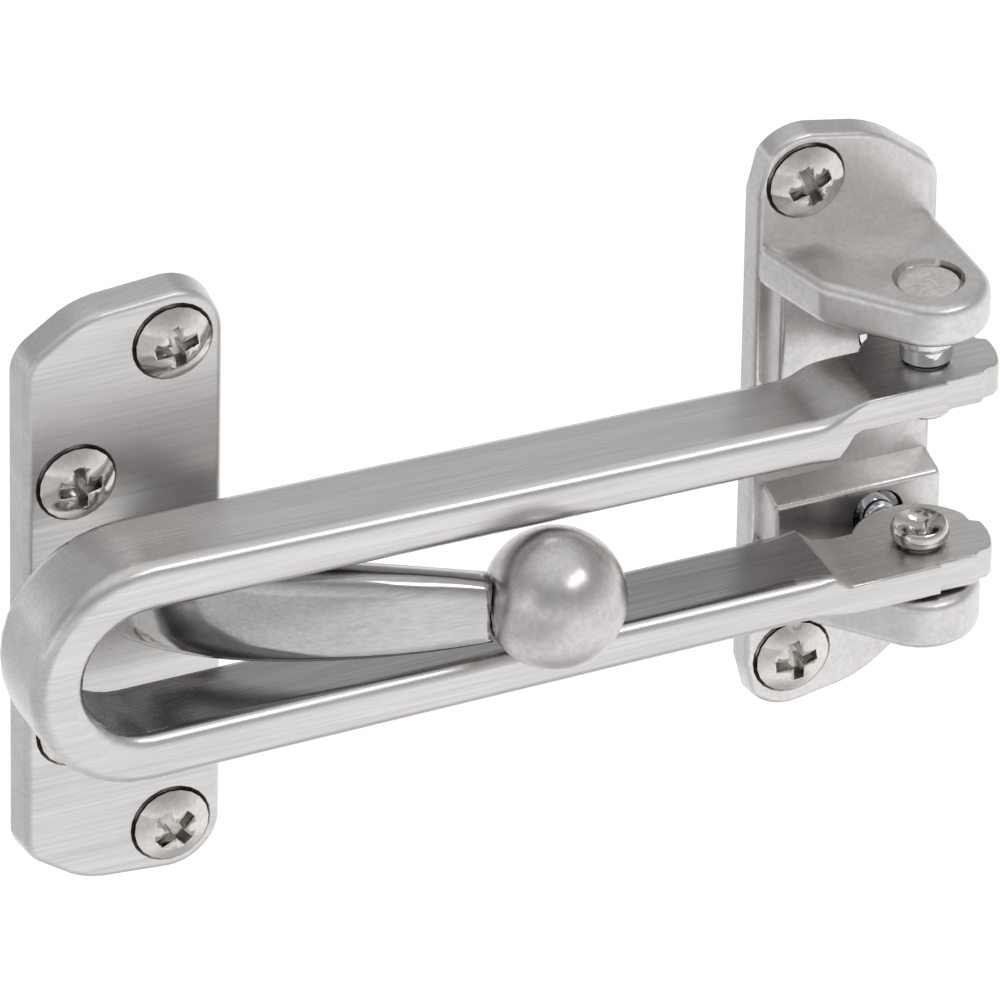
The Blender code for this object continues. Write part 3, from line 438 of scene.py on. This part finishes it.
# %% [markdown]
# ## Put the finishes on
#
# Most pieces take one finish, chosen by the node's name. The door plate takes two, because its flat part
# is brushed and its arm is
# buffed: every face that stands out from the plate's front takes the second one. The loop takes two as
# well: its inner walls take a darker copy of the bar's satin, which paints shade inside the loop.

# %% Assign a finish to every piece
FINISH_OF = {
    "jamb_bracket": "satin_cast",
    "swing_bar": "satin_bar",
    "door_plate": "satin_plate",
    "ball_tip": "satin_ball",
}
BY_WORD = (
    ("collar", "bright_chrome"),
    ("plunger_spring", "spring_wire"),
    ("plunger", "bright_chrome"),
    ("screw", "bright_screw"),
    ("pin", "bright_screw"),
)


def finish_for(node):
    if node in FINISH_OF:
        return FINISH_OF[node]
    return next(finish for word, finish in BY_WORD if word in node)


for node, piece in PIECES.items():
    for obj in (piece, frame["nodes"][node]):
        obj.data.materials.clear()
        obj.data.materials.append(FINISHES[finish_for(node)])

arm_piece = PIECES["door_plate"]
arm_piece.data.materials.append(FINISHES["buffed_arm"])
ARM_STANDS_PAST = -3.8 * MM
for face in arm_piece.data.polygons:
    corners = [arm_piece.data.vertices[i].co.y for i in face.vertices]
    face.material_index = int(min(corners) < ARM_STANDS_PAST)
print("arm faces:", sum(face.material_index for face in arm_piece.data.polygons))

loop_piece = PIECES["swing_bar"]
# Faces inside the loop take the darker copy of the satin as painted shade.
loop_piece.data.materials.append(FINISHES["shaded_loop_inside"])
SLOT_LEFT, SLOT_RIGHT, SLOT_REACH = -84.8 * MM, -13.0 * MM, 7.7 * MM
for face in loop_piece.data.polygons:
    along = face.center.x
    off = Vector((along - min(max(along, SLOT_LEFT), SLOT_RIGHT), 0.0, face.center.z))
    faces_in = along < SLOT_RIGHT and face.normal.dot(off) < 0
    face.material_index = int(faces_in and off.length < SLOT_REACH)
print("faces inside the loop:", sum(face.material_index for face in loop_piece.data.polygons))

# %% [markdown]
# ## The studio
#
# Metal shows what is around it more than its own colour. Front faces mirror the floor in front of the
# guard, so the floor glows there. It fades on the left, where the narrow sides look, and right under the
# guard, where the lower edges look. Top faces mirror a soft grey band in the sky behind. The rounded front
# edges mirror a large soft light above the viewer, which draws the bright line along the bar.

# %% Floor and sky
bpy.ops.object.select_all(action="DESELECT")
FLOOR_SIZE, FLOOR_HEIGHT = 12.0, -0.32
UNDER_THE_GUARD = (0.03, 0.03, 0.0)
bpy.ops.mesh.primitive_plane_add(size=FLOOR_SIZE, location=(0, 0, FLOOR_HEIGHT))
floor = bpy.context.object
floor.name = "studio_floor"
floor_paint_and_glow = bpy.data.materials.new("floor_paint_and_glow")
floor_paint_and_glow.use_nodes = True
paint = floor_paint_and_glow.node_tree.nodes["Principled BSDF"]
paint.inputs["Base Color"].default_value = (0.35, 0.35, 0.35, 1.0)
paint.inputs["Roughness"].default_value = 0.9
paint.inputs["Specular IOR Level"].default_value = 0.0
paint.inputs["Emission Color"].default_value = (1.0, 1.0, 1.0, 1.0)
floor_tree = floor_paint_and_glow.node_tree
on_floor = add(floor_tree, "TexCoord").outputs["Object"]
across = add(floor_tree, "SeparateXYZ", Vector=on_floor)
# Painted light: the floor glows brightest in front of the guard and fades to the left.
glow = spread(floor_tree, across.outputs["X"], -0.40, -0.04, 0.46, 0.86)
distance = {"operation": "DISTANCE"}
away = add(floor_tree, "VectorMath", settings=distance, i0=on_floor, i1=UNDER_THE_GUARD)
# Painted shadow: the glow drops to 0.4 of its strength beneath the guard.
under = spread(floor_tree, away.outputs["Value"], 0.06, 0.21, 0.40, 1.0)
floor_tree.links.new(maths(floor_tree, "MULTIPLY", glow, under), paint.inputs["Emission Strength"])
floor.data.materials.append(floor_paint_and_glow)

world = bpy.data.worlds.new("studio_sky")
bpy.context.scene.world = world
world.use_nodes = True
sky = world.node_tree
background = sky.nodes["Background"]
direction = add(sky, "TexCoord").outputs["Generated"]
split = add(sky, "SeparateXYZ", Vector=direction)
ramp = add(sky, "ValToRGB", Fac=maths(sky, "MULTIPLY_ADD", split.outputs["Z"], 0.5, 0.5))
stops = ramp.color_ramp.elements
stops[0].position, stops[0].color = 0.50, (0.95, 0.95, 0.96, 1.0)
stops[1].position, stops[1].color = 1.0, (0.90, 0.90, 0.92, 1.0)
for position, level in ((0.60, 0.72), (0.70, 0.50), (0.80, 0.42), (0.88, 0.62)):
    stop = stops.new(position)
    stop.color = (level, level, level * 1.01, 1.0)
sky.links.new(ramp.outputs["Color"], background.inputs["Color"])
background.inputs["Strength"].default_value = 1.0
print("sky stops:", len(stops))

# %% [markdown]
# ## Soft lights
#
# Three wide lamps stand round the guard. The largest is above the viewer and draws the bright lines, a
# dim one on the left lifts the narrow sides, and one behind keeps the top edges from going flat.


# %% Place the soft lights
MIDDLE = Vector((-0.04, -0.01, 0.0))


def soft_light(name, towards, distance, size, power):
    """An area light in this direction from the guard, facing it."""
    lamp = bpy.data.lights.new(name, "AREA")
    lamp.shape = "RECTANGLE"
    lamp.size, lamp.size_y = size
    lamp.energy = power
    holder = bpy.data.objects.new(name, lamp)
    bpy.context.scene.collection.objects.link(holder)
    way = Vector(towards).normalized()
    holder.location = MIDDLE + way * distance
    holder.rotation_euler = way.to_track_quat("Z", "Y").to_euler()


soft_light("above_viewer", (0.35, -0.54, 0.77), 1.3, (0.75, 0.30), 1.8)
soft_light("left_side", (-0.9, -0.35, 0.35), 1.4, (0.5, 0.8), 0.4)
soft_light("behind_top", (0.2, 0.75, 0.6), 1.6, (0.8, 0.3), 0.25)

# %% [markdown]
# ## The camera
#
# The guard is shown from its left, a third of the way up, through a very long lens, so its edges stay
# nearly parallel. The camera stands far off and is placed by the point it looks at, its two angles and
# its distance, with a small roll.

# %% Place the camera
TARGET = Vector((-44.62, -15.0, 8.16)) * MM
AZIMUTH, ELEVATION, ROLL = (math.radians(value) for value in (24.36, 32.56, 1.03))
DISTANCE = 1567.11 * MM
LENS_MM = 555.07
flat = math.cos(ELEVATION)
ahead = Vector((math.sin(AZIMUTH) * flat, math.cos(AZIMUTH) * flat, -math.sin(ELEVATION)))
right = Vector((math.cos(AZIMUTH), -math.sin(AZIMUTH), 0.0))
up = right.cross(ahead)
tilted_right = right * math.cos(ROLL) + up * math.sin(ROLL)
tilted_up = up * math.cos(ROLL) - right * math.sin(ROLL)
lens = bpy.data.cameras.new("studio_camera")
lens.lens = LENS_MM
lens.sensor_width = 36.0
lens.clip_end = 50.0
camera = bpy.data.objects.new("studio_camera", lens)
bpy.context.scene.collection.objects.link(camera)
turn = Matrix((tilted_right, tilted_up, -ahead)).transposed().to_4x4()
camera.matrix_world = Matrix.Translation(TARGET - ahead * DISTANCE) @ turn
bpy.context.scene.camera = camera
bpy.context.scene.view_settings.view_transform = "Standard"
print("camera at", [round(v, 3) for v in camera.location])
